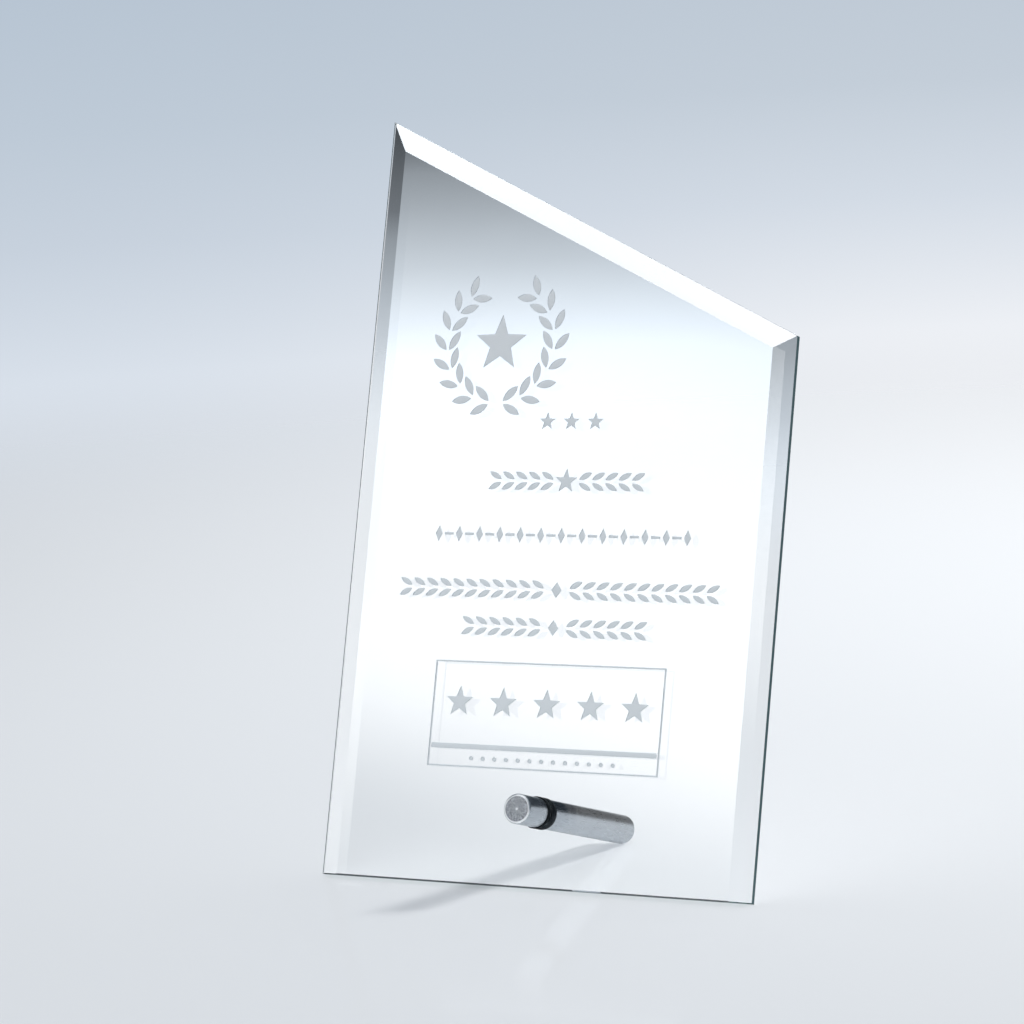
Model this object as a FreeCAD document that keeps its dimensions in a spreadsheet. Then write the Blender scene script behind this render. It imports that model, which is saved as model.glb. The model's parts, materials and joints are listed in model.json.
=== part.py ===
import FreeCAD, Part
import math
import os

import Sketcher

# A standing award: a bevelled clear plaque with a sloping top, drilled near its foot for a
# round metal pin. The pin is a short cap in front of the plaque and a long rod behind it,
# drawn together by a threaded stud that runs in a bush through the hole, with a washer on
# each face. The plaque leans back until the end of the rod meets the table.
#
# Working frame of the plaque: X across, Y up the plaque from its bottom edge, Z out of the
# front face, with the rear face at Z = 0. The pin pieces use the same directions with their
# origin on the pin's axis.

DIMENSIONS = [
    # plaque
    ("plate_width", 152.4),
    ("left_height", 250.0),
    ("right_height", 176.5),
    ("plate_thickness", 5.0),
    ("bevel_width", 6.8),
    ("bevel_depth", 2.7),
    ("edge_arris", 0.4),
    # pin
    ("centre_offset", 1.2),
    ("pin_height", 23.7),
    ("pin_diameter", 9.5),
    ("end_chamfer", 0.5),
    ("cap_length", 12.5),
    ("pip_diameter", 0.7),
    ("pip_depth", 0.15),
    ("rod_length", 57.0),
    ("washer_thickness", 1.0),
    ("washer_diameter", 10.2),
    ("bush_diameter", 7.9),
    ("bush_bore", 5.3),
    ("hole_diameter", 8.0),
    ("hole_arris", 0.3),
    # stud and its tapped holes
    ("stud_diameter", 4.9),
    ("stud_length", 25.0),
    ("stud_chamfer", 0.6),
    ("tapped_diameter", 5.0),
    ("cap_thread_depth", 6.5),
    ("rod_thread_depth", 13.5),
    # engraved decoration on the front face
    ("engraving_depth", 0.3),
    ("emblem_left", 28.2),
    ("emblem_height", 174.0),
    ("emblem_star_radius", 9.5),
    ("wreath_radius", 19.5),
    ("wreath_sweep", 134.0),
    ("wreath_leaves", 8),
    ("wreath_leaf_length", 7.0),
    ("wreath_leaf_width", 2.6),
    ("small_star_height", 148.6),
    ("small_star_radius", 2.9),
    ("small_star_pitch", 8.6),
    ("small_star_count", 3),
    ("top_garland_height", 129.3),
    ("top_garland_star", 4.0),
    ("top_garland_pitch", 4.7),
    ("top_garland_count", 5),
    ("bead_row_height", 111.8),
    ("bead_pitch", 7.4),
    ("bead_count", 13),
    ("bead_width", 2.4),
    ("bead_tall", 5.0),
    ("dash_length", 3.2),
    ("dash_thickness", 0.8),
    ("wide_garland_height", 94.3),
    ("wide_garland_count", 11),
    ("low_garland_height", 82.2),
    ("low_garland_count", 6),
    ("garland_pitch", 4.8),
    ("garland_leaf_length", 4.9),
    ("garland_leaf_width", 1.8),
    ("frame_width", 82.0),
    ("frame_height", 34.0),
    ("frame_bottom", 36.8),
    ("frame_line", 0.5),
    ("frame_star_height", 57.6),
    ("frame_star_radius", 5.0),
    ("frame_star_pitch", 15.6),
    ("frame_star_count", 5),
    ("band_bottom", 42.6),
    ("band_thickness", 1.6),
    ("dot_row_height", 39.7),
    ("dot_radius", 0.7),
    ("dot_pitch", 4.2),
    ("dot_count", 13),
]

STAR_INNER_RATIO = 0.42      # inner to outer radius of a five-pointed star
GARLAND_LEAN = 28.0          # degrees between a garland's leaf and its stem
WREATH_LEAN = 36.0           # degrees between a wreath's leaf and its stem
STEM_GAP = 0.55              # mm from the stem's line to the foot of a leaf
GARLAND_START = 4.6          # mm from a garland's centre ornament to its first leaf
WREATH_START = -82.0         # degrees round the wreath at which each branch starts
LOZENGE_STRETCH = 1.5        # width of a garland's lozenge over that of a bead
TOLERANCE = 1e-6             # mm

doc = FreeCAD.newDocument("crystal_award")
sheet = doc.addObject("Spreadsheet::Sheet", "Dimensions")


def fill_sheet():
    """Write each driving dimension as a plain number in an aliased cell."""
    for row, (alias, value) in enumerate(DIMENSIONS, start=1):
        sheet.set("A%d" % row, alias)
        sheet.set("B%d" % row, str(value))
        sheet.setAlias("B%d" % row, alias)
    doc.recompute()


def dim(alias):
    """The value of one driving dimension."""
    return float(sheet.get(alias))


def bind(feature, **expressions):
    """Tie properties of a feature to expressions of the sheet's cells."""
    for name, expression in expressions.items():
        feature.setExpression(name, expression)


def new_body(name, placement):
    body = doc.addObject("PartDesign::Body", name)
    body.Label = name
    body.Placement = placement
    return body


def sketch_on(body, name, x=None, y=None, z=None):
    """A sketch on the body's own XY plane, shifted by cells or expressions."""
    sketch = body.newObject("Sketcher::SketchObject", name)
    plane = next(f for f in body.Origin.OriginFeatures if f.Role == "XY_Plane")
    sketch.AttachmentSupport = [(plane, "")]
    sketch.MapMode = "FlatFace"
    for axis, expression in (("x", x), ("y", y), ("z", z)):
        if expression:
            sketch.setExpression("AttachmentOffset.Base." + axis, expression)
    return sketch


def add_polygon(sketch, points):
    """Add a closed outline of straight lines and return the index of its first line."""
    first = sketch.GeometryCount
    corners = [FreeCAD.Vector(x, y, 0) for x, y in points]
    count = len(corners)
    for i in range(count):
        sketch.addGeometry(Part.LineSegment(corners[i], corners[(i + 1) % count]), False)
    for i in range(count):
        joint = Sketcher.Constraint("Coincident", first + i, 2, first + (i + 1) % count, 1)
        sketch.addConstraint(joint)
    return first


def add_circle(sketch, diameter_cell):
    """Add a circle about the sketch's origin, its diameter bound to a cell."""
    circle = Part.Circle(FreeCAD.Vector(), FreeCAD.Vector(0, 0, 1), 1.0)
    index = sketch.addGeometry(circle, False)
    sketch.addConstraint(Sketcher.Constraint("Coincident", index, 3, -1, 1))
    number = sketch.addConstraint(Sketcher.Constraint("Diameter", index, 2.0))
    sketch.renameConstraint(number, "diameter_%d" % index)
    sketch.setExpression("Constraints.diameter_%d" % index, "Dimensions." + diameter_cell)


def add_leaf(sketch, foot, angle, length, width):
    """Add a pointed leaf: two equal arcs that meet at its foot and its tip."""
    direction = FreeCAD.Vector(math.cos(angle), math.sin(angle), 0)
    across = FreeCAD.Vector(-direction.y, direction.x, 0)
    start = FreeCAD.Vector(foot[0], foot[1], 0)
    tip = start + direction * length
    middle = start + direction * (length / 2)
    for side in (1, -1):
        bulge = middle + across * (side * width / 2)
        sketch.addGeometry(Part.Arc(start, bulge, tip), False)


def star_points(radius):
    """Corners of an upright five-pointed star about the origin."""
    points = []
    for i in range(10):
        reach = radius if i % 2 == 0 else radius * STAR_INNER_RATIO
        angle = math.radians(90 + 36 * i)
        points.append((reach * math.cos(angle), reach * math.sin(angle)))
    return points


def pad(body, name, sketch, length):
    feature = body.newObject("PartDesign::Pad", name)
    feature.Profile = sketch
    bind(feature, Length=length)
    doc.recompute()
    return feature


def pocket(body, name, sketch, depth, reversed_cut=False):
    """Cut a sketch into the body and make sure that the cut removed material."""
    before = body.Shape.Volume
    feature = body.newObject("PartDesign::Pocket", name)
    feature.Profile = sketch
    feature.Reversed = reversed_cut
    bind(feature, Length=depth)
    doc.recompute()
    if body.Shape.Volume >= before:
        raise RuntimeError(name + " removed nothing")
    return feature


def repeat(body, name, feature, axis_sketch, pitch, count, backwards=False):
    """Repeat a pocket along the X direction of its sketch."""
    pattern = body.newObject("PartDesign::LinearPattern", name)
    pattern.Originals = [feature]
    pattern.Direction = (axis_sketch, ["H_Axis"])
    pattern.Reversed = backwards
    bind(pattern, Length="%s * (%s - 1)" % (pitch, count), Occurrences=count)
    body.Tip = pattern
    doc.recompute()


def chamfer(body, name, base, edges, size):
    """Break edges at 45 degrees."""
    feature = body.newObject("PartDesign::Chamfer", name)
    feature.Base = (base, edges)
    bind(feature, Size=size)
    doc.recompute()


def edges_where(feature, test):
    """Names of the feature's edges for which the test of its corner points is true."""
    names = []
    for number, edge in enumerate(feature.Shape.Edges, start=1):
        if test([vertex.Point for vertex in edge.Vertexes]):
            names.append("Edge%d" % number)
    return names


def round_edges(feature, radius, height):
    """Names of the circular edges of one radius at one height along the axis."""
    names = []
    for number, edge in enumerate(feature.Shape.Edges, start=1):
        if not isinstance(edge.Curve, Part.Circle):
            continue
        same_radius = abs(edge.Curve.Radius - radius) < TOLERANCE
        if same_radius and abs(edge.Curve.Center.z - height) < TOLERANCE:
            names.append("Edge%d" % number)
    return names


def lean_angle():
    """Angle from upright at which the plaque's foot and the rod's end are level.

    The foot touches on the lower corner of its rear arris, and the rod on the rim of its
    end chamfer.
    """
    rise = dim("pin_height") - dim("pin_diameter") / 2
    reach = dim("washer_thickness") + dim("rod_length") - dim("end_chamfer")
    return math.atan2(rise, reach + dim("edge_arris"))


def leaning_frame():
    """The plaque's frame, leaned back, before it is set down on the plane Z = 0."""
    turn = FreeCAD.Rotation(FreeCAD.Vector(1, 0, 0), 90 - math.degrees(lean_angle()))
    return FreeCAD.Placement(FreeCAD.Vector(), turn)


def set_down(parts):
    """Move all pieces together so that the origin is the middle of the whole foot."""
    whole = FreeCAD.BoundBox()
    for body in parts:
        whole.add(body.Shape.BoundBox)
    shift = FreeCAD.Vector(0, -whole.Center.y, -whole.ZMin)
    for body in parts:
        body.Placement = FreeCAD.Placement(shift, FreeCAD.Rotation()) * body.Placement
    print("plaque frame at", parts[0].Placement.Base, "lean", math.degrees(lean_angle()))


# ---- the plaque -------------------------------------------------------------------------

def plaque_plate(body):
    """The flat plate with its sloping top, centred across X with its foot at Y = 0."""
    half = dim("plate_width") / 2
    outline = sketch_on(body, "plaque_outline")
    points = [(-half, 0), (half, 0), (half, dim("right_height")), (-half, dim("left_height"))]
    bottom = add_polygon(outline, points)
    right, left = bottom + 1, bottom + 3
    outline.addConstraint(Sketcher.Constraint("Horizontal", bottom))
    outline.addConstraint(Sketcher.Constraint("Vertical", right))
    outline.addConstraint(Sketcher.Constraint("Vertical", left))
    outline.addConstraint(Sketcher.Constraint("Symmetric", bottom, 1, bottom, 2, -1, 1))
    for index, name in ((bottom, "plate_width"), (right, "right_height"), (left, "left_height")):
        number = outline.addConstraint(Sketcher.Constraint("Distance", index, dim(name)))
        outline.renameConstraint(number, name)
        outline.setExpression("Constraints." + name, "Dimensions." + name)
    return pad(body, "plaque_plate", outline, "Dimensions.plate_thickness")


def front_bevel(body, plate):
    """Wide flat bevels on the left, top and right of the front face, mitred at the corners."""
    front = dim("plate_thickness")

    def bevelled(ends):
        on_front = all(abs(p.z - front) < TOLERANCE for p in ends)
        return on_front and max(p.y for p in ends) > TOLERANCE

    bevel = body.newObject("PartDesign::Chamfer", "front_bevel")
    bevel.Base = (plate, edges_where(plate, bevelled))
    bevel.ChamferType = "Two distances"
    bind(bevel, Size="Dimensions.bevel_depth", Size2="Dimensions.bevel_width")
    doc.recompute()
    on_front = [f for f in bevel.Shape.Faces if abs(f.CenterOfMass.z - front) < TOLERANCE]
    flat_width = dim("plate_width") - 2 * dim("bevel_width")
    if not on_front or abs(on_front[0].BoundBox.XLength - flat_width) > TOLERANCE:
        raise RuntimeError("the bevel's two sizes are the wrong way round")
    return bevel


def seam_edges(body, bevel):
    """Small ground arrises round the rear face and along the foot."""
    front = dim("plate_thickness")

    def seamed(ends):
        behind = all(abs(p.z) < TOLERANCE for p in ends)
        foot = all(abs(p.y) < TOLERANCE and abs(p.z - front) < TOLERANCE for p in ends)
        return behind or foot

    chamfer(body, "edge_arris", bevel, edges_where(bevel, seamed), "Dimensions.edge_arris")


def drill_pin_hole(body):
    """The hole for the pin's bush, with ground mouths."""
    sketch = sketch_on(body, "pin_hole_sketch", "Dimensions.centre_offset",
                       "Dimensions.pin_height", "Dimensions.plate_thickness")
    add_circle(sketch, "hole_diameter")
    hole = pocket(body, "pin_hole", sketch, "Dimensions.plate_thickness")
    radius = dim("hole_diameter") / 2
    mouths = round_edges(hole, radius, dim("plate_thickness")) + round_edges(hole, radius, 0.0)
    chamfer(body, "hole_arris", hole, mouths, "Dimensions.hole_arris")


def engraving_sketch(body, name, x, y):
    """A sketch on the plaque's front face."""
    return sketch_on(body, name, x, y, "Dimensions.plate_thickness")


def engrave(body, name, sketch):
    return pocket(body, name, sketch, "Dimensions.engraving_depth")


def row_start(pitch, count):
    """Expression for the X of the first motif of a centred row."""
    return "Dimensions.centre_offset - %s * (%s - 1) / 2" % (pitch, count)


def star_row(body, name, height, radius, pitch, count):
    """A centred row of five-pointed stars."""
    pitch_cell, count_cell = "Dimensions." + pitch, "Dimensions." + count
    sketch = engraving_sketch(body, name + "_sketch", row_start(pitch_cell, count_cell),
                              "Dimensions." + height)
    add_polygon(sketch, star_points(dim(radius)))
    cut = engrave(body, name, sketch)
    repeat(body, name + "_row", cut, sketch, pitch_cell, count_cell)


def emblem(body):
    """A star inside a laurel wreath that is open at the top."""
    centre_x = "Dimensions.centre_offset - Dimensions.emblem_left"
    star = engraving_sketch(body, "emblem_star_sketch", centre_x, "Dimensions.emblem_height")
    add_polygon(star, star_points(dim("emblem_star_radius")))
    engrave(body, "emblem_star", star)

    radius = dim("wreath_radius")
    length, width = dim("wreath_leaf_length"), dim("wreath_leaf_width")
    start = math.radians(WREATH_START)
    for side, name in ((1, "right"), (-1, "left")):
        leaves = engraving_sketch(body, "wreath_%s_sketch" % name, centre_x,
                                  "Dimensions.emblem_height")
        for out in (1, -1):
            reach = radius + out * STEM_GAP
            foot = (side * reach * math.cos(start), reach * math.sin(start))
            heading = start + math.radians(90 - out * WREATH_LEAN)
            angle = heading if side > 0 else math.pi - heading
            add_leaf(leaves, foot, angle, length, width)
        cut = engrave(body, "wreath_" + name, leaves)
        sweep = body.newObject("PartDesign::PolarPattern", "wreath_%s_branch" % name)
        sweep.Originals = [cut]
        sweep.Axis = (leaves, ["N_Axis"])
        sweep.Reversed = side < 0
        bind(sweep, Angle="Dimensions.wreath_sweep", Occurrences="Dimensions.wreath_leaves")
        body.Tip = sweep
        doc.recompute()


def garland(body, name, height, pitch, count, centre_points):
    """Leaf pairs that run outwards both ways from an ornament in the middle."""
    centre = engraving_sketch(body, name + "_centre_sketch", "Dimensions.centre_offset",
                              "Dimensions." + height)
    add_polygon(centre, centre_points)
    engrave(body, name + "_centre", centre)
    length, width = dim("garland_leaf_length"), dim("garland_leaf_width")
    for side, word in ((1, "right"), (-1, "left")):
        leaves = engraving_sketch(body, "%s_%s_sketch" % (name, word),
                                  "Dimensions.centre_offset", "Dimensions." + height)
        for up in (1, -1):
            lean = math.radians(up * GARLAND_LEAN)
            angle = lean if side > 0 else math.pi - lean
            add_leaf(leaves, (side * GARLAND_START, up * STEM_GAP), angle, length, width)
        cut = engrave(body, "%s_%s" % (name, word), leaves)
        repeat(body, "%s_%s_row" % (name, word), cut, leaves, "Dimensions." + pitch,
               "Dimensions." + count, backwards=side < 0)


def diamond(width, tall):
    return [(width / 2, 0), (0, tall / 2), (-width / 2, 0), (0, -tall / 2)]


def bead_row(body):
    """Diamonds with a short dash between each pair."""
    pitch, count = "Dimensions.bead_pitch", "Dimensions.bead_count"
    start = row_start(pitch, count)
    height = "Dimensions.bead_row_height"
    beads = engraving_sketch(body, "bead_sketch", start, height)
    add_polygon(beads, diamond(dim("bead_width"), dim("bead_tall")))
    repeat(body, "bead_row", engrave(body, "bead", beads), beads, pitch, count)
    dashes = engraving_sketch(body, "dash_sketch", start + " + %s / 2" % pitch, height)
    long, thick = dim("dash_length") / 2, dim("dash_thickness") / 2
    add_polygon(dashes, [(-long, -thick), (long, -thick), (long, thick), (-long, thick)])
    repeat(body, "dash_row", engrave(body, "dash", dashes), dashes, pitch, count + " - 1")


def ornament_frame(body):
    """A plain line frame with five stars, a band and a row of dots."""
    half, tall, line = dim("frame_width") / 2, dim("frame_height"), dim("frame_line")
    frame = engraving_sketch(body, "frame_sketch", "Dimensions.centre_offset",
                             "Dimensions.frame_bottom")
    add_polygon(frame, [(-half, 0), (half, 0), (half, tall), (-half, tall)])
    inner = half - line
    add_polygon(frame, [(-inner, line), (inner, line), (inner, tall - line),
                        (-inner, tall - line)])
    engrave(body, "frame_line", frame)
    star_row(body, "frame_star", "frame_star_height", "frame_star_radius",
             "frame_star_pitch", "frame_star_count")

    band = engraving_sketch(body, "band_sketch", "Dimensions.centre_offset",
                            "Dimensions.band_bottom")
    reach, thick = half - 2 * line, dim("band_thickness")
    add_polygon(band, [(-reach, 0), (reach, 0), (reach, thick), (-reach, thick)])
    engrave(body, "band", band)

    pitch, count = "Dimensions.dot_pitch", "Dimensions.dot_count"
    dots = engraving_sketch(body, "dot_sketch", row_start(pitch, count),
                            "Dimensions.dot_row_height")
    dot = Part.Circle(FreeCAD.Vector(), FreeCAD.Vector(0, 0, 1), dim("dot_radius"))
    dots.addGeometry(dot, False)
    repeat(body, "dot_row", engrave(body, "dot", dots), dots, pitch, count)


def make_plaque(placement):
    body = new_body("glass_plaque", placement)
    plate = plaque_plate(body)
    seam_edges(body, front_bevel(body, plate))
    drill_pin_hole(body)
    emblem(body)
    star_row(body, "small_star", "small_star_height", "small_star_radius",
             "small_star_pitch", "small_star_count")
    garland(body, "top_garland", "top_garland_height", "top_garland_pitch",
            "top_garland_count", star_points(dim("top_garland_star")))
    bead_row(body)
    lozenge = diamond(dim("bead_width") * LOZENGE_STRETCH, dim("bead_tall"))
    garland(body, "wide_garland", "wide_garland_height", "garland_pitch",
            "wide_garland_count", lozenge)
    garland(body, "low_garland", "low_garland_height", "garland_pitch",
            "low_garland_count", lozenge)
    ornament_frame(body)
    return body


# ---- the pin ----------------------------------------------------------------------------

def turned_blank(body, diameter, start, length, end_size):
    """A round bar from one height along the axis, with the same chamfer at both ends."""
    circle = sketch_on(body, body.Name + "_section", z=start)
    add_circle(circle, diameter)
    bar = pad(body, body.Name + "_bar", circle, "Dimensions." + length)
    radius, box = dim(diameter) / 2, bar.Shape.BoundBox
    rims = round_edges(bar, radius, box.ZMin) + round_edges(bar, radius, box.ZMax)
    chamfer(body, body.Name + "_ends", bar, rims, end_size)


def make_front_cap(placement):
    """The short cap in front, tapped from behind for the stud, with a lathe pip."""
    body = new_body("front_cap", placement)
    seat = "Dimensions.plate_thickness + Dimensions.washer_thickness"
    turned_blank(body, "pin_diameter", seat, "cap_length", "Dimensions.end_chamfer")
    thread = sketch_on(body, "cap_thread_sketch", z=seat)
    add_circle(thread, "tapped_diameter")
    pocket(body, "cap_thread", thread, "Dimensions.cap_thread_depth", reversed_cut=True)
    pip = sketch_on(body, "cap_pip_sketch", z=seat + " + Dimensions.cap_length")
    add_circle(pip, "pip_diameter")
    pocket(body, "cap_pip", pip, "Dimensions.pip_depth")
    return body


def make_support_rod(placement):
    """The long rod behind, tapped in front for the stud; its end stands on the table."""
    body = new_body("support_rod", placement)
    end = "-Dimensions.washer_thickness - Dimensions.rod_length"
    turned_blank(body, "pin_diameter", end, "rod_length", "Dimensions.end_chamfer")
    thread = sketch_on(body, "rod_thread_sketch", z="-Dimensions.washer_thickness")
    add_circle(thread, "tapped_diameter")
    pocket(body, "rod_thread", thread, "Dimensions.rod_thread_depth")
    return body


def make_stud(placement):
    """The stud bottoms in the cap and reaches through the plaque into the rod."""
    body = new_body("threaded_stud", placement)
    tail = ("Dimensions.plate_thickness + Dimensions.washer_thickness"
            " + Dimensions.cap_thread_depth - Dimensions.stud_length")
    turned_blank(body, "stud_diameter", tail, "stud_length", "Dimensions.stud_chamfer")
    return body


def make_ring(name, placement, diameter, start, length):
    """A flat ring or sleeve on the pin's axis, bored to clear the stud."""
    body = new_body(name, placement)
    section = sketch_on(body, name + "_section", z=start)
    add_circle(section, diameter)
    add_circle(section, "bush_bore")
    pad(body, name + "_ring", section, "Dimensions." + length)
    return body


def make_parts():
    plaque_frame = leaning_frame()
    on_axis = FreeCAD.Vector(dim("centre_offset"), dim("pin_height"), 0)
    pin_frame = plaque_frame * FreeCAD.Placement(on_axis, FreeCAD.Rotation())
    return [
        make_plaque(plaque_frame),
        make_front_cap(pin_frame),
        make_ring("front_washer", pin_frame, "washer_diameter",
                  "Dimensions.plate_thickness", "washer_thickness"),
        make_ring("hole_bush", pin_frame, "bush_diameter", None, "plate_thickness"),
        make_ring("rear_washer", pin_frame, "washer_diameter",
                  "-Dimensions.washer_thickness", "washer_thickness"),
        make_stud(pin_frame),
        make_support_rod(pin_frame),
    ]


def check(parts):
    """Stop before anything is written if an object failed or a shape is unsound."""
    for item in doc.Objects:
        if "Invalid" in item.State or "Error" in item.State:
            raise RuntimeError("%s failed: %s" % (item.Name, item.State))
    for body in parts:
        shape = body.Shape
        if shape.isNull() or not shape.isValid() or len(shape.Solids) != 1:
            raise RuntimeError(body.Label + " is not one valid solid")


def export(parts):
    os.makedirs("parts", exist_ok=True)
    for body in parts:
        body.Shape.exportStep("parts/%s.step" % body.Label)
        box = body.Shape.BoundBox
        print("%-14s %9.2f mm3  X %.2f..%.2f  Y %.2f..%.2f  Z %.3f..%.2f" % (
            body.Label, body.Shape.Volume, box.XMin, box.XMax, box.YMin, box.YMax,
            box.ZMin, box.ZMax))


fill_sheet()
award_parts = make_parts()
set_down(award_parts)
doc.recompute()
check(award_parts)
export(award_parts)
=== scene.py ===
"""Looks for the glass plaque award: glass, engraving, metal pin, studio and camera. Units are metres."""
import json
from math import cos, floor, pi, radians, sin

import bmesh
import bpy
from mathutils import Matrix, Vector


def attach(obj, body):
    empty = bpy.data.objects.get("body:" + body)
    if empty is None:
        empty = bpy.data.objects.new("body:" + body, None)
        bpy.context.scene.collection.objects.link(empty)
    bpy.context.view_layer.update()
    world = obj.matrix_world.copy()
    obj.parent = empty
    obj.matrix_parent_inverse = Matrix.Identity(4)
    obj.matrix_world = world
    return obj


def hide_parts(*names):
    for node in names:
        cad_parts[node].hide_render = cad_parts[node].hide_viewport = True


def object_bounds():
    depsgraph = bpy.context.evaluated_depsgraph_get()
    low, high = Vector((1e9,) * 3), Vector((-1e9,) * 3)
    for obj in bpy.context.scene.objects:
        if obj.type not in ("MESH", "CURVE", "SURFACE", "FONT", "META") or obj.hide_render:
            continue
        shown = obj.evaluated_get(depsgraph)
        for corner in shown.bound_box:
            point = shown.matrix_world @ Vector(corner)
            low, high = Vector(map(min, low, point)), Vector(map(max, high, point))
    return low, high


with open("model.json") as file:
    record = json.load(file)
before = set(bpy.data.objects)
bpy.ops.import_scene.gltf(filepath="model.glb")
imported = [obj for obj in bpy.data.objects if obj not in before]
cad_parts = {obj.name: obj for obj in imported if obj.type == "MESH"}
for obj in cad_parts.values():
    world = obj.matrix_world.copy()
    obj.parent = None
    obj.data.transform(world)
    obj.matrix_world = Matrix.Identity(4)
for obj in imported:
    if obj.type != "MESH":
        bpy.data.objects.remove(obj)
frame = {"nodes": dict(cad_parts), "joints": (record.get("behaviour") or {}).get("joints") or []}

cad_low, cad_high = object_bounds()

MM = 0.001

# The pin's own frame: its origin is where the axis leaves the rear face of the plaque, Z points out of the
# front and Y up the plaque. Sizes along it are those of the CAD pieces.
PLATE_THICKNESS = 5.0 * MM
PIN_RADIUS = 4.75 * MM
END_CHAMFER = 0.5 * MM
WASHER_THICKNESS = 1.0 * MM
WASHER_RADIUS = 5.1 * MM
BUSH_RADIUS = 3.95 * MM
BORE_RADIUS = 2.65 * MM
HOLE_RADIUS = 4.0 * MM
CAP_LENGTH = 12.5 * MM
CAP_HOLE_DEPTH = 6.5 * MM
PIP_RADIUS = 0.35 * MM
PIP_DEPTH = 0.15 * MM
ROD_LENGTH = 57.0 * MM
ROD_HOLE_DEPTH = 13.5 * MM
TAPPED_RADIUS = 2.5 * MM
STUD_RADIUS = 2.45 * MM
STUD_HALF = 12.5 * MM
STUD_CHAMFER = 0.6 * MM
THREAD_PITCH = 0.8 * MM
THREAD_DEPTH = 0.45 * MM
ENGRAVING_DEPTH = 0.3 * MM
BREAK_RADIUS = 0.1 * MM
LATHE_SEGMENTS = 128
PLACE = "place"

# The plaque's materials, in the order of its slots.
POLISHED, ENGRAVED, GROUND, ENGRAVED_WALL = range(4)

GLASS_IOR = 1.52
GROUND_EDGE_IOR = 1.15
TABLE_SHINE = 0.13
GLOW_AZIMUTH = radians(-148)


# ---------------------------------------------------------------- node trees

def node(tree, kind, inputs=None, **settings):
    """A new node with its settings and its inputs, each a value or a socket to link."""
    made = tree.nodes.new(kind)
    for name, value in settings.items():
        setattr(made, name, value)
    for name, value in (inputs or {}).items():
        if isinstance(value, bpy.types.NodeSocket):
            tree.links.new(value, made.inputs[name])
        else:
            made.inputs[name].default_value = value
    return made


def calc(tree, operation, *values):
    """The result of a Math node."""
    inputs = {i: value for i, value in enumerate(values)}
    return node(tree, "ShaderNodeMath", inputs, operation=operation).outputs[0]


def smooth_step(tree, value, start, end, low=0.0, high=1.0):
    """Value mapped smoothly from start..end to low..high."""
    inputs = {"Value": value, "From Min": start, "From Max": end, "To Min": low, "To Max": high}
    made = node(tree, "ShaderNodeMapRange", inputs, interpolation_type="SMOOTHSTEP")
    return made.outputs["Result"]


def linear(level):
    """A display level from 0 to 255 as light."""
    share = level / 255
    return share / 12.92 if share <= 0.04045 else ((share + 0.055) / 1.055) ** 2.4


def tone(red, green, blue):
    """A colour from display levels, as red, green, blue, alpha."""
    return (linear(red), linear(green), linear(blue), 1.0)


def ramp(tree, value, start, end, stops):
    """A smooth run of colours: stops are (value, colour), and value runs from start to end."""
    share = node(tree, "ShaderNodeMapRange", {"Value": value, "From Min": start, "From Max": end})
    made = node(tree, "ShaderNodeValToRGB", {"Fac": share.outputs["Result"]})
    elements = made.color_ramp.elements
    places = [(place - start) / (end - start) for place, _ in stops]
    elements[0].position, elements[1].position = places[0], places[-1]
    elements[0].color, elements[1].color = stops[0][1], stops[-1][1]
    for place, (_, colour) in list(zip(places, stops))[1:-1]:
        elements.new(place).color = colour
    return made.outputs["Color"]


def mix(tree, share, first, second):
    """Two colours mixed: share is how much of the second."""
    made = tree.nodes.new("ShaderNodeMix")
    made.data_type = "RGBA"
    colours = [s for s in made.inputs if s.type == "RGBA"]
    for socket, value in zip([made.inputs[0], *colours], (share, first, second)):
        if isinstance(value, bpy.types.NodeSocket):
            tree.links.new(value, socket)
        else:
            socket.default_value = value
    return next(s for s in made.outputs if s.type == "RGBA")


def place_on_pin(tree):
    """The point's place in the pin's frame, kept with the mesh."""
    return node(tree, "ShaderNodeAttribute", attribute_name=PLACE).outputs["Vector"]


def noise(tree, scale, detail=3.0, stretch=(1, 1, 1), roughness=0.5, place=None):
    """Noise in the pin's frame, drawn out along an axis where stretch is below 1."""
    place = place or place_on_pin(tree)
    place = node(tree, "ShaderNodeMapping", {"Vector": place, "Scale": stretch}).outputs["Vector"]
    inputs = {"Vector": place, "Scale": scale, "Detail": detail, "Roughness": roughness}
    return node(tree, "ShaderNodeTexNoise", inputs).outputs["Fac"]


def bump(tree, height, strength, distance):
    """A bumped normal."""
    inputs = {"Height": height, "Strength": strength, "Distance": distance}
    return node(tree, "ShaderNodeBump", inputs).outputs["Normal"]


def along(tree, direction, axis):
    """How far a direction points along an axis, from -1 to 1."""
    inputs = {0: direction, 1: axis}
    return node(tree, "ShaderNodeVectorMath", inputs, operation="DOT_PRODUCT").outputs["Value"]


def material(name):
    """An empty material's node tree and its output node."""
    made = bpy.data.materials.new(name)
    made.use_nodes = True
    made.node_tree.nodes.clear()
    return made, made.node_tree, node(made.node_tree, "ShaderNodeOutputMaterial")


def surface(tree, output, inputs):
    """A Principled surface with these inputs."""
    shader = node(tree, "ShaderNodeBsdfPrincipled", inputs)
    tree.links.new(shader.outputs[0], output.inputs["Surface"])
    return shader


# ---------------------------------------------------------------- materials

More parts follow.
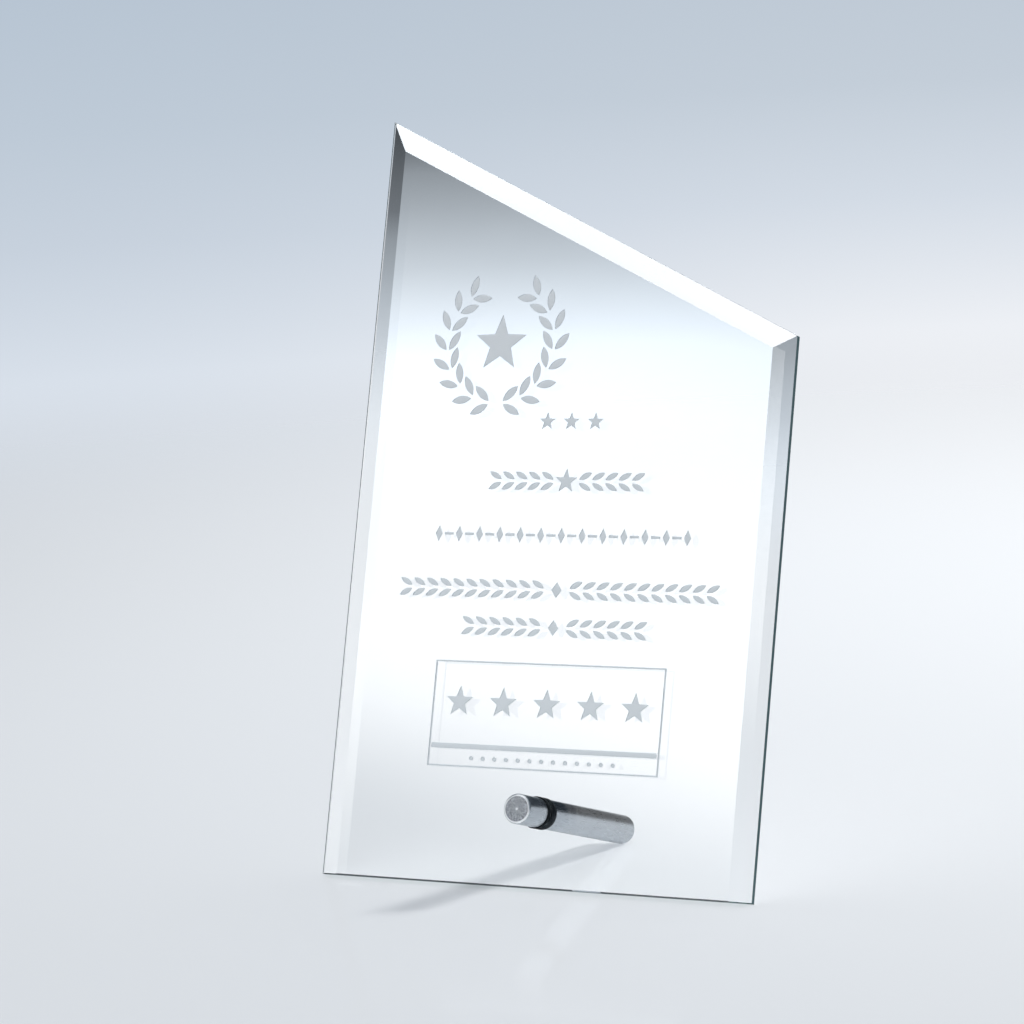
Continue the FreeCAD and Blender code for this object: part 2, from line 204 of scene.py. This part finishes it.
def glass(name, roughness, grain=None, transmission=1.0, colour=(1, 1, 1, 1), ior=GLASS_IOR):
    """Float glass, faintly teal through its thickness: polished, or ground or frosted by its grain."""
    made, tree, output = material(name)
    if grain:
        height = noise(tree, grain, detail=2.0, roughness=0.7)
        normal = bump(tree, height, 0.6, 0.05 * MM)
    else:
        height = noise(tree, 45.0, detail=1.0)
        normal = bump(tree, height, 0.03, 0.2 * MM)
    low, high = roughness
    surface(tree, output, {
        "Base Color": colour,
        "Roughness": smooth_step(tree, height, 0.3, 0.7, low, high),
        "Normal": normal,
        "IOR": ior,
        "Transmission Weight": transmission,
    })
    tint = {"Color": (0.2, 0.6, 0.58, 1), "Density": 4.0}
    volume = node(tree, "ShaderNodeVolumeAbsorption", tint)
    tree.links.new(volume.outputs[0], output.inputs["Volume"])
    return made


def satin_metal(name, colour, stretch, scale, roughness, height=0.02 * MM, anisotropy=0.0):
    """Metal with fine turning or drawing marks that run along the axis with the small stretch."""
    made, tree, output = material(name)
    marks = noise(tree, scale, detail=4.0, stretch=stretch, roughness=0.65)
    cloud = noise(tree, 180.0, detail=2.0)
    low, high = roughness
    worn = calc(tree, "MULTIPLY_ADD", cloud, 0.3, calc(tree, "MULTIPLY", marks, 0.7))
    dark = tuple(0.93 * c for c in colour[:3]) + (1.0,)
    surface(tree, output, {
        "Base Color": mix(tree, smooth_step(tree, worn, 0.35, 0.65), dark, colour),
        "Metallic": 1.0,
        "Roughness": smooth_step(tree, worn, 0.3, 0.7, low, high),
        "Anisotropic": anisotropy,
        "Normal": bump(tree, marks, 0.35, height),
    })
    return made


def faced_metal(name, colour):
    """The end of a turned bar: rings and rays round the axis, with a painted highlight on the rim and at
    the centre.
    """
    made, tree, output = material(name)
    parts = node(tree, "ShaderNodeSeparateXYZ", {"Vector": place_on_pin(tree)}).outputs
    squares = [calc(tree, "MULTIPLY", part, part) for part in parts[:2]]
    radius = calc(tree, "SQRT", calc(tree, "ADD", *squares))
    angle = calc(tree, "ARCTAN2", parts[1], parts[0])
    steps = {"W": calc(tree, "MULTIPLY", radius, 9000.0), "Scale": 1.0, "Detail": 2.0}
    rings = node(tree, "ShaderNodeTexNoise", steps, noise_dimensions="1D").outputs["Fac"]
    spread = node(tree, "ShaderNodeCombineXYZ", {
        0: calc(tree, "MULTIPLY", calc(tree, "COSINE", angle), 9.0),
        1: calc(tree, "MULTIPLY", calc(tree, "SINE", angle), 9.0),
        2: calc(tree, "MULTIPLY", radius, 1400.0)})
    streaks = {"Vector": spread.outputs[0], "Scale": 1.0, "Detail": 3.0, "Roughness": 0.7}
    rays = node(tree, "ShaderNodeTexNoise", streaks).outputs["Fac"]
    marks = calc(tree, "MULTIPLY_ADD", rays, 0.55, calc(tree, "MULTIPLY", rings, 0.45))
    dark = tuple(0.3 * c for c in colour[:3]) + (1.0,)
    faced = mix(tree, smooth_step(tree, marks, 0.45, 0.56), dark, colour)
    # Painted highlight: a ring at the chamfer and a spot at the centre are lightened in the base colour.
    inside = smooth_step(tree, radius, PIN_RADIUS - 0.85 * MM, PIN_RADIUS - 0.65 * MM)
    outside = smooth_step(tree, radius, PIN_RADIUS - 0.1 * MM, PIN_RADIUS - 0.25 * MM)
    rim_highlight = calc(tree, "MULTIPLY", inside, outside)
    middle = smooth_step(tree, radius, 2 * PIP_RADIUS, 0.5 * PIP_RADIUS, 0.0, 0.8)
    painted_highlight = (0.95, 0.96, 0.97, 1)
    surface(tree, output, {
        "Base Color": mix(tree, calc(tree, "MAXIMUM", rim_highlight, middle), faced, painted_highlight),
        "Metallic": 1.0,
        "Roughness": smooth_step(tree, marks, 0.3, 0.7, 0.3, 0.5),
        "Normal": bump(tree, marks, 0.5, 0.03 * MM),
    })
    return made


def dull_black(name, colour, scale, roughness):
    """Rubber or nylon with a fine moulded grain."""
    made, tree, output = material(name)
    grain = noise(tree, scale, detail=4.0, roughness=0.6)
    low, high = roughness
    light = tuple(1.8 * c for c in colour[:3]) + (1.0,)
    surface(tree, output, {
        "Base Color": mix(tree, smooth_step(tree, grain, 0.35, 0.7), colour, light),
        "Roughness": smooth_step(tree, grain, 0.3, 0.7, low, high),
        "Specular IOR Level": 0.2,
        "Normal": bump(tree, grain, 0.3, 0.03 * MM),
    })
    return made


# ---------------------------------------------------------------- pieces

def pin_frame():
    """The pin's frame as a matrix, from the joint that turns the cap."""
    turning = next(j for j in frame["joints"] if j["type"] == "hinge")
    out = Vector(turning["axis"]).normalized()
    across = Vector((1, 0, 0))
    up = out.cross(across)
    origin = Vector(turning["pos_m"]) - out * PLATE_THICKNESS
    made = Matrix((across, up, out)).transposed().to_4x4()
    made.translation = origin
    return made


def piece(name, mesh, body, node_name, materials, matrix):
    """A mesh made in the pin's frame, put in place, riding on its body and standing for its CAD node."""
    kept = mesh.attributes.new(PLACE, "FLOAT_VECTOR", "POINT")
    kept.data.foreach_set("vector", [c for v in mesh.vertices for c in v.co])
    mesh.transform(matrix)
    made = bpy.data.objects.new(name, mesh)
    bpy.context.scene.collection.objects.link(made)
    for finish in materials:
        mesh.materials.append(finish)
    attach(made, body)
    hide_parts(node_name)
    return made


def smooth(mesh, angle):
    """Smooth shading except across edges sharper than angle, in degrees."""
    mesh.polygons.foreach_set("use_smooth", [True] * len(mesh.polygons))
    mesh.set_sharp_from_angle(angle=radians(angle))


def broken(profile, radius, closed=False, steps=3):
    """The profile with each corner rounded by a small curve."""
    count = len(profile)
    made = []
    for i, corner in enumerate(profile):
        if not closed and i in (0, count - 1):
            made.append(corner)
            continue
        here = Vector(corner)
        before, after = Vector(profile[i - 1]), Vector(profile[(i + 1) % count])
        reach = [min(radius, (p - here).length / 2.5) for p in (before, after)]
        first = here + (before - here).normalized() * reach[0]
        last = here + (after - here).normalized() * reach[1]
        for step in range(steps + 1):
            t = step / steps
            made.append(tuple((1 - t) ** 2 * first + 2 * t * (1 - t) * here + t ** 2 * last))
    return made


def lathe(name, profile, closed=False, segments=LATHE_SEGMENTS):
    """A mesh turned about Z from (radius, height) points."""
    made = bmesh.new()
    rings = []
    for radius, height in profile:
        if radius < 1e-9:
            rings.append([made.verts.new((0, 0, height))] * segments)
            continue
        turns = [2 * pi * k / segments for k in range(segments)]
        rings.append([made.verts.new((radius * cos(a), radius * sin(a), height)) for a in turns])
    pairs = list(zip(rings, rings[1:] + rings[:1])) if closed else list(zip(rings, rings[1:]))
    for low, high in pairs:
        for k in range(segments):
            corners = [low[k], low[(k + 1) % segments], high[(k + 1) % segments], high[k]]
            corners = [v for j, v in enumerate(corners) if v not in corners[:j]]
            made.faces.new(corners)
    bmesh.ops.recalc_face_normals(made, faces=made.faces)
    mesh = bpy.data.meshes.new(name)
    made.to_mesh(mesh)
    made.free()
    smooth(mesh, 35)
    return mesh


def front_cap():
    """The cap that clamps the plaque from the front, bored for the stud."""
    back = PLATE_THICKNESS + WASHER_THICKNESS
    front = back + CAP_LENGTH
    inner = PIN_RADIUS - END_CHAMFER
    profile = [(0, back + CAP_HOLE_DEPTH), (TAPPED_RADIUS, back + CAP_HOLE_DEPTH), (TAPPED_RADIUS, back),
               (inner, back), (PIN_RADIUS, back + END_CHAMFER), (PIN_RADIUS, front - END_CHAMFER),
               (inner, front), (PIP_RADIUS, front), (PIP_RADIUS * 0.6, front - PIP_DEPTH),
               (0, front - PIP_DEPTH)]
    mesh = lathe("front_cap_turned", broken(profile, BREAK_RADIUS))
    for face in mesh.polygons:
        if face.normal.z > 0.3 and face.center.z > front - END_CHAMFER:
            face.material_index = 1
    return mesh


def support_rod():
    """The rod behind the plaque, tapped in its front end."""
    front = -WASHER_THICKNESS
    back = front - ROD_LENGTH
    inner = PIN_RADIUS - END_CHAMFER
    profile = [(0, front - ROD_HOLE_DEPTH), (TAPPED_RADIUS, front - ROD_HOLE_DEPTH), (TAPPED_RADIUS, front),
               (inner, front), (PIN_RADIUS, front - END_CHAMFER), (PIN_RADIUS, back + END_CHAMFER),
               (inner, back), (0, back)]
    mesh = lathe("support_rod_turned", broken(profile, BREAK_RADIUS))
    for face in mesh.polygons:
        if face.normal.z < -0.9 and face.center.z < back + BREAK_RADIUS:
            face.material_index = 1
    return mesh


def ring(name, low, high, radius):
    """A washer or sleeve with slightly rounded corners."""
    profile = [(BORE_RADIUS, low), (radius, low), (radius, high), (BORE_RADIUS, high)]
    return lathe(name, broken(profile, BREAK_RADIUS, closed=True), closed=True)


def threaded_stud(per_turn=64, per_pitch=14):
    """The stud with a right-hand thread cut along it, faded out at its chamfered ends."""
    steps = int(2 * STUD_HALF / THREAD_PITCH * per_pitch)
    made = bmesh.new()
    rings = []
    for i in range(steps + 1):
        height = -STUD_HALF + 2 * STUD_HALF * i / steps
        limit = STUD_RADIUS - max(0.0, STUD_CHAMFER - (STUD_HALF - abs(height)))
        row = []
        for k in range(per_turn):
            angle = 2 * pi * k / per_turn
            turn = height / THREAD_PITCH - k / per_turn
            phase = abs(2 * (turn - floor(turn)) - 1)
            flank = min(1.0, max(0.0, (phase - 0.12) / 0.7))
            radius = min(limit, STUD_RADIUS - THREAD_DEPTH * (1 - flank))
            row.append(made.verts.new((radius * cos(angle), radius * sin(angle), height)))
        rings.append(row)
    for low, high in zip(rings, rings[1:]):
        for k in range(per_turn):
            after = (k + 1) % per_turn
            made.faces.new([low[k], low[after], high[after], high[k]])
    for row in (rings[0], rings[-1]):
        made.faces.new(row)
    bmesh.ops.recalc_face_normals(made, faces=made.faces)
    mesh = bpy.data.meshes.new("threaded_stud_screw")
    made.to_mesh(mesh)
    made.free()
    smooth(mesh, 40)
    return mesh


def glass_plaque(matrix):
    """The CAD plaque in the pin's frame, with its engraving and its ground edges told apart."""
    packed = frame["nodes"]["glass_plaque"].data
    to_pin = matrix.inverted()
    mesh = bpy.data.meshes.new("glass_plaque_polished")
    corners = [to_pin @ v.co for v in packed.vertices]
    mesh.from_pydata(corners, [], [p.vertices[:] for p in packed.polygons])
    made = bmesh.new()
    made.from_mesh(mesh)
    bmesh.ops.remove_doubles(made, verts=made.verts, dist=1e-6)
    floor_height = PLATE_THICKNESS - ENGRAVING_DEPTH
    curved = []
    for face in made.faces:
        middle, tilt = face.calc_center_median(), face.normal.z
        on_floor = tilt > 0.99 and abs(middle.z - floor_height) < 0.02 * MM
        on_wall = abs(tilt) < 0.2 and middle.z > floor_height - 0.01 * MM
        in_hole = middle.xy.length < HOLE_RADIUS + 0.5 * MM
        on_edge = abs(tilt) < 0.3 and not in_hole
        face.material_index = (ENGRAVED if on_floor else ENGRAVED_WALL if on_wall
                               else GROUND if on_edge else POLISHED)
        curved.append(on_wall or (in_hole and abs(tilt) < 0.95))
    made.to_mesh(mesh)
    made.free()
    mesh.set_sharp_from_angle(angle=radians(25))
    mesh.polygons.foreach_set("use_smooth", curved)
    return mesh


def make_pieces():
    """Every piece of the object."""
    matrix = pin_frame()
    steel = (0.46, 0.495, 0.535, 1)
    rod_metal = satin_metal("satin_steel_drawn", steel, (1, 1, 0.03), 5200.0, (0.25, 0.33),
                            height=0.003 * MM)
    face_metal = faced_metal("satin_steel_faced", (0.56, 0.59, 0.63, 1))
    zinc = satin_metal("zinc_thread", (0.66, 0.67, 0.66, 1), (1, 1, 1), 1500.0, (0.22, 0.38))
    rubber = dull_black("washer_rubber", (0.006, 0.008, 0.01, 1), 2500.0, (0.55, 0.75))
    nylon = dull_black("bush_nylon", (0.008, 0.01, 0.012, 1), 1800.0, (0.35, 0.5))
    clear = glass("polished_glass", (0.0, 0.006))
    # The ground edges keep the glass's own teal, darkened in the base colour as painted shade.
    edge = glass("ground_edge_painted_shade", (0.4, 0.6), grain=2500.0, transmission=0.25,
                 colour=(0.055, 0.105, 0.115, 1), ior=GROUND_EDGE_IOR)
    frosted = glass("frosted_glass", (0.5, 0.75), grain=3500.0, transmission=0.15,
                    colour=(0.93, 0.955, 0.98, 1))
    # The engraving's walls are frosted glass painted darker than its floors: painted shade along the recess
    # edges.
    wall = glass("frosted_wall_painted_shade", (0.5, 0.75), grain=3500.0, transmission=0.15,
                 colour=(0.36, 0.41, 0.45, 1))
    plaque = piece("glass_plaque_polished", glass_plaque(matrix), "plaque_and_rod",
                   "glass_plaque", [clear, frosted, edge, wall], matrix)
    plaque.visible_shadow = False
    piece("front_cap_turned", front_cap(), "cap_and_stud", "front_cap",
          [rod_metal, face_metal], matrix)
    piece("support_rod_turned", support_rod(), "plaque_and_rod", "support_rod",
          [rod_metal, face_metal], matrix)
    front = PLATE_THICKNESS
    washer = ring("front_washer_rubber", front, front + WASHER_THICKNESS, WASHER_RADIUS)
    piece("front_washer_rubber", washer, "washer_carrier", "front_washer", [rubber],
          matrix)
    piece("rear_washer_rubber", ring("rear_washer_rubber", -WASHER_THICKNESS, 0, WASHER_RADIUS),
          "plaque_and_rod", "rear_washer", [rubber], matrix)
    piece("hole_bush_nylon", ring("hole_bush_nylon", 0, PLATE_THICKNESS, BUSH_RADIUS),
          "plaque_and_rod", "hole_bush", [nylon], matrix)
    piece("threaded_stud_screw", threaded_stud(), "cap_and_stud", "threaded_stud",
          [zinc], matrix)


# ---------------------------------------------------------------- studio

def backdrop(tree, height, side):
    """The pale paper round the table, seen directly: blue grey above, near white below."""
    levels = (-0.20, 0.10)
    left = [(-0.20, tone(230, 236, 243)), (-0.14, tone(226, 232, 240)), (-0.10, tone(216, 224, 234)),
            (-0.065, tone(199, 209, 221)), (-0.035, tone(190, 202, 215)), (0.0, tone(184, 197, 211)),
            (0.10, tone(172, 187, 203))]
    right = [(-0.20, tone(248, 249, 251)), (-0.14, tone(246, 247, 250)), (-0.10, tone(237, 240, 245)),
             (-0.065, tone(212, 220, 230)), (-0.035, tone(196, 206, 217)), (0.0, tone(190, 201, 213)),
             (0.10, tone(178, 191, 205))]
    share = smooth_step(tree, side, -0.14, 0.14)
    return mix(tree, share, ramp(tree, height, *levels, left), ramp(tree, height, *levels, right))


def behind_glass(tree, height, side, ahead, paper):
    """What shows through the glass: a grey card behind the plaque that fades to white downwards."""
    lean = calc(tree, "ADD", smooth_step(tree, side, 0.03, 0.25, 0.0, 0.05),
                smooth_step(tree, side, -0.02, -0.15, 0.0, 0.009))
    depth = calc(tree, "SUBTRACT", calc(tree, "MULTIPLY", height, -1.0), lean)
    greys = [(0.02, 0.06), (0.045, 0.19), (0.052, 0.34), (0.061, 0.45), (0.068, 0.55), (0.077, 0.66),
             (0.087, 0.84), (0.10, 1.06), (0.12, 1.25)]
    stops = [(place, (0.90 * grey, 0.99 * grey, 1.09 * grey, 1)) for place, grey in greys]
    card = ramp(tree, depth, 0.02, 0.12, stops)
    across = calc(tree, "ABSOLUTE", side)
    share = calc(tree, "MULTIPLY", smooth_step(tree, across, 0.28, 0.5, 1.0, 0.15),
                 smooth_step(tree, ahead, 0.2, 0.7, 0.0, 1.0))
    return mix(tree, share, paper, card)


def front_glow(tree, direction, height):
    """How far a direction lies in the broad white sheet in front of the plaque, to its left."""
    centre = (sin(GLOW_AZIMUTH), cos(GLOW_AZIMUTH), 0)
    towards = along(tree, direction, centre)
    across = smooth_step(tree, towards, 0.6, 0.85)
    below = smooth_step(tree, height, 0.475, 0.38)
    above = smooth_step(tree, height, 0.315, 0.36)
    return calc(tree, "MULTIPLY", across, calc(tree, "MULTIPLY", below, above))


def dark_wall(tree, height, side, ahead):
    """How far a direction lies on the unlit wall beyond the paper, behind the plaque to its right."""
    right = smooth_step(tree, side, 0.05, 0.22)
    behind = smooth_step(tree, ahead, 0.1, 0.4)
    above = smooth_step(tree, height, -0.05, 0.02)
    return calc(tree, "MULTIPLY", right, calc(tree, "MULTIPLY", behind, above))


def make_world(centre_azimuth):
    """Soft light from all round, with what the camera, the glass and the metal see set apart."""
    world = bpy.data.worlds.new("studio_air")
    bpy.context.scene.world = world
    world.use_nodes = True
    world.cycles.sampling_method = "NONE"
    tree = world.node_tree
    tree.nodes.clear()
    direction = node(tree, "ShaderNodeTexCoord").outputs["Generated"]
    height = node(tree, "ShaderNodeSeparateXYZ", {"Vector": direction}).outputs["Z"]
    right = (cos(centre_azimuth), sin(centre_azimuth), 0)
    forward = (-sin(centre_azimuth), cos(centre_azimuth), 0)
    side, ahead = [along(tree, direction, axis) for axis in (right, forward)]
    paper = backdrop(tree, height, side)
    card = behind_glass(tree, height, side, ahead, paper)
    gloss = ramp(tree, height, -1.0, 1.0, [
        (-1.0, tone(235, 240, 245)), (-0.05, tone(225, 231, 240)), (0.10, tone(190, 202, 214)),
        (0.25, tone(72, 84, 96)), (0.55, tone(52, 62, 72)), (0.80, tone(110, 122, 134)),
        (1.0, tone(235, 240, 246))])
    gloss = mix(tree, dark_wall(tree, height, side, ahead), gloss, tone(34, 42, 50))
    gloss = mix(tree, front_glow(tree, direction, height), gloss, (3.6, 3.55, 3.5, 1))
    soft = ramp(tree, height, -1.0, 1.0, [
        (-1.0, (0.14, 0.155, 0.175, 1)), (1.0, (0.12, 0.135, 0.155, 1))])
    path = node(tree, "ShaderNodeLightPath").outputs
    straight = calc(tree, "LESS_THAN", path["Diffuse Depth"], 0.5)
    mirrored = calc(tree, "GREATER_THAN", path["Glossy Depth"], 0.5)
    shown = mix(tree, straight, soft, mix(tree, mirrored, card, gloss))
    seen = mix(tree, path["Is Camera Ray"], shown, paper)
    shader = node(tree, "ShaderNodeBackground", {"Color": seen, "Strength": 1.0})
    output = node(tree, "ShaderNodeOutputWorld")
    tree.links.new(shader.outputs[0], output.inputs["Surface"])


def make_floor():
    """A round white table top that fades into the paper round it."""
    made = bmesh.new()
    bmesh.ops.create_grid(made, x_segments=8, y_segments=8, size=3.0)
    mesh = bpy.data.meshes.new("table_top")
    made.to_mesh(mesh)
    made.free()
    table = bpy.data.objects.new("table_top", mesh)
    bpy.context.scene.collection.objects.link(table)
    finish, tree, output = material("white_acrylic")
    place = node(tree, "ShaderNodeTexCoord").outputs["Object"]
    far = node(tree, "ShaderNodeVectorMath", {0: place}, operation="LENGTH").outputs["Value"]
    grain = noise(tree, 900.0, detail=2.0, place=place)
    dull = node(tree, "ShaderNodeBsdfDiffuse", {"Color": (0.87, 0.90, 0.935, 1)})
    shine = node(tree, "ShaderNodeBsdfGlossy", {
        "Color": (1, 1, 1, 1), "Roughness": smooth_step(tree, grain, 0.3, 0.7, 0.06, 0.1)})
    board = node(tree, "ShaderNodeMixShader", {0: TABLE_SHINE, 1: dull.outputs[0], 2: shine.outputs[0]})
    clear = node(tree, "ShaderNodeBsdfTransparent")
    share = smooth_step(tree, far, 0.55, 1.7)
    blend = node(tree, "ShaderNodeMixShader", {0: share, 1: board.outputs[0], 2: clear.outputs[0]})
    tree.links.new(blend.outputs[0], output.inputs["Surface"])
    mesh.materials.append(finish)


def make_softbox(name, azimuth, elevation, distance, size, radiance, colour, aim, casts=True,
                 mirrored=True):
    """An area light aimed at a point, which may cast shadows or show in reflections.

    Azimuth is from +Y towards +X and elevation up from the table, both in degrees.
    """
    data = bpy.data.lights.new(name, "AREA")
    data.shape, data.size, data.size_y = "RECTANGLE", *size
    data.energy = radiance * pi * size[0] * size[1]
    data.color = colour
    data.use_shadow = casts
    made = bpy.data.objects.new(name, data)
    bpy.context.scene.collection.objects.link(made)
    a, e = radians(azimuth), radians(elevation)
    offset = Vector((sin(a) * cos(e), cos(a) * cos(e), sin(e))) * distance
    made.location = aim + offset
    made.rotation_mode = "QUATERNION"
    made.rotation_quaternion = offset.to_track_quat("Z", "Y")
    made.visible_camera = False
    made.visible_transmission = False
    made.visible_glossy = mirrored


def make_lights(aim):
    """A softbox for the shadows, two in front for the glass and one that whitens the table behind."""
    cool = (0.97, 0.985, 1.0)
    warm = (1.0, 0.98, 0.955)
    make_softbox("key_softbox", 50, 33, 1.6, (0.28, 0.28), 56.0, warm, aim, mirrored=False)
    make_softbox("top_softbox", -152, 66, 1.4, (0.65, 0.5), 5.5, cool, aim, casts=False)
    make_softbox("front_softbox", -160, 12, 1.4, (0.4, 0.4), 9.0, cool, aim, casts=False,
                 mirrored=False)
    behind = Vector((0.1, 0.85, 0))
    make_softbox("back_softbox", 15, 80, 1.1, (1.6, 1.1), 2.15, warm, behind, casts=False,
                 mirrored=False)


def make_camera():
    """The camera at the photograph's angle."""
    distance, azimuth, elevation, roll = 1.2, radians(28.595), radians(8.21), radians(-3.466)
    aim = Vector((-17.66, 0, 114.52)) * MM
    back = Vector((sin(azimuth) * cos(elevation), -cos(azimuth) * cos(elevation), sin(elevation)))
    right = (-back).cross(Vector((0, 0, 1))).normalized()
    up = right.cross(-back)
    across = cos(roll) * right + sin(roll) * up
    above = cos(roll) * up - sin(roll) * right
    data = bpy.data.cameras.new("camera")
    data.lens, data.sensor_width = 131.8, 36.0
    data.clip_start, data.clip_end = 0.01, 50.0
    made = bpy.data.objects.new("camera", data)
    bpy.context.scene.collection.objects.link(made)
    turned = Matrix((across, above, back)).transposed().to_4x4()
    turned.translation = aim + back * distance
    made.matrix_world = turned
    bpy.context.scene.camera = made
    return azimuth


make_pieces()
view_azimuth = make_camera()
make_world(view_azimuth)
make_floor()
make_lights((cad_low + cad_high) / 2)
bpy.context.scene.view_settings.view_transform = "Standard"
